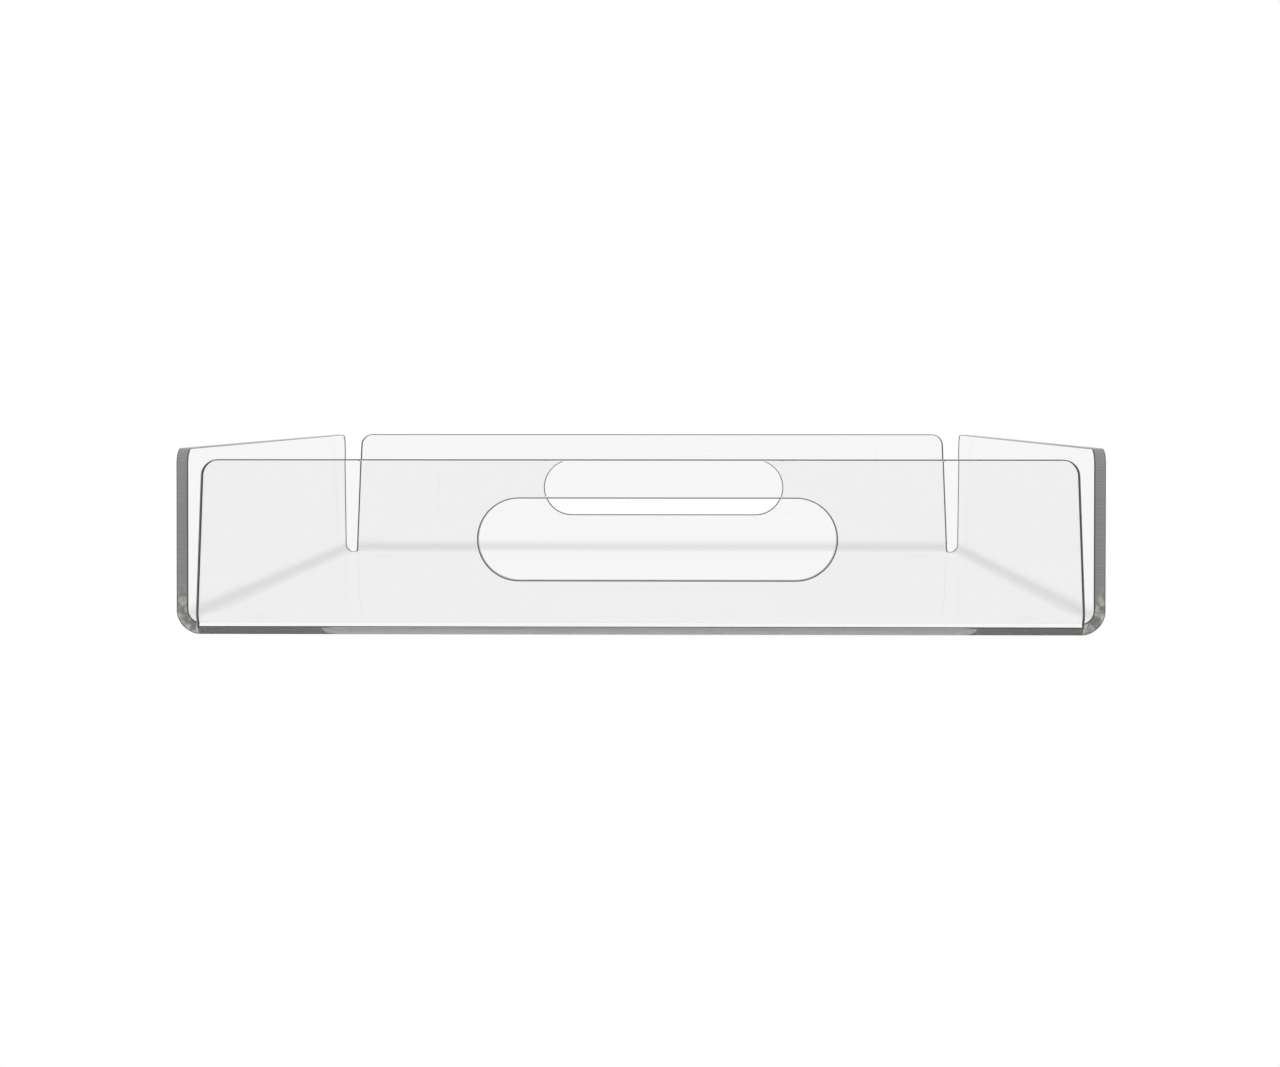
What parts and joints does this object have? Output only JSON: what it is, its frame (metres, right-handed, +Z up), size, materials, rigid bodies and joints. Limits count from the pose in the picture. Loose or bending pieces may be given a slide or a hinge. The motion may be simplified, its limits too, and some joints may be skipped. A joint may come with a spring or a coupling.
{
  "type": "letter tray",
  "caption": "Clear letter tray folded from acrylic sheet, with a hand-hold in each short wall and clear bumper feet.",
  "frame": {"origin": "on the desk under the middle of the tray", "axes": "+Z up, -Y towards the user at the tray's front short wall, +X to the user's right"},
  "size_m": [0.254, 0.3048, 0.0524],
  "materials": {
    "clear_acrylic": "gloss",
    "clear_bumper": "satin"
  },
  "bodies": {
    "root": {"tray_shell": "clear_acrylic", "foot_front_left": "clear_bumper", "foot_front_right": "clear_bumper", "foot_back_left": "clear_bumper", "foot_back_right": "clear_bumper"}
  },
  "joints": []
}
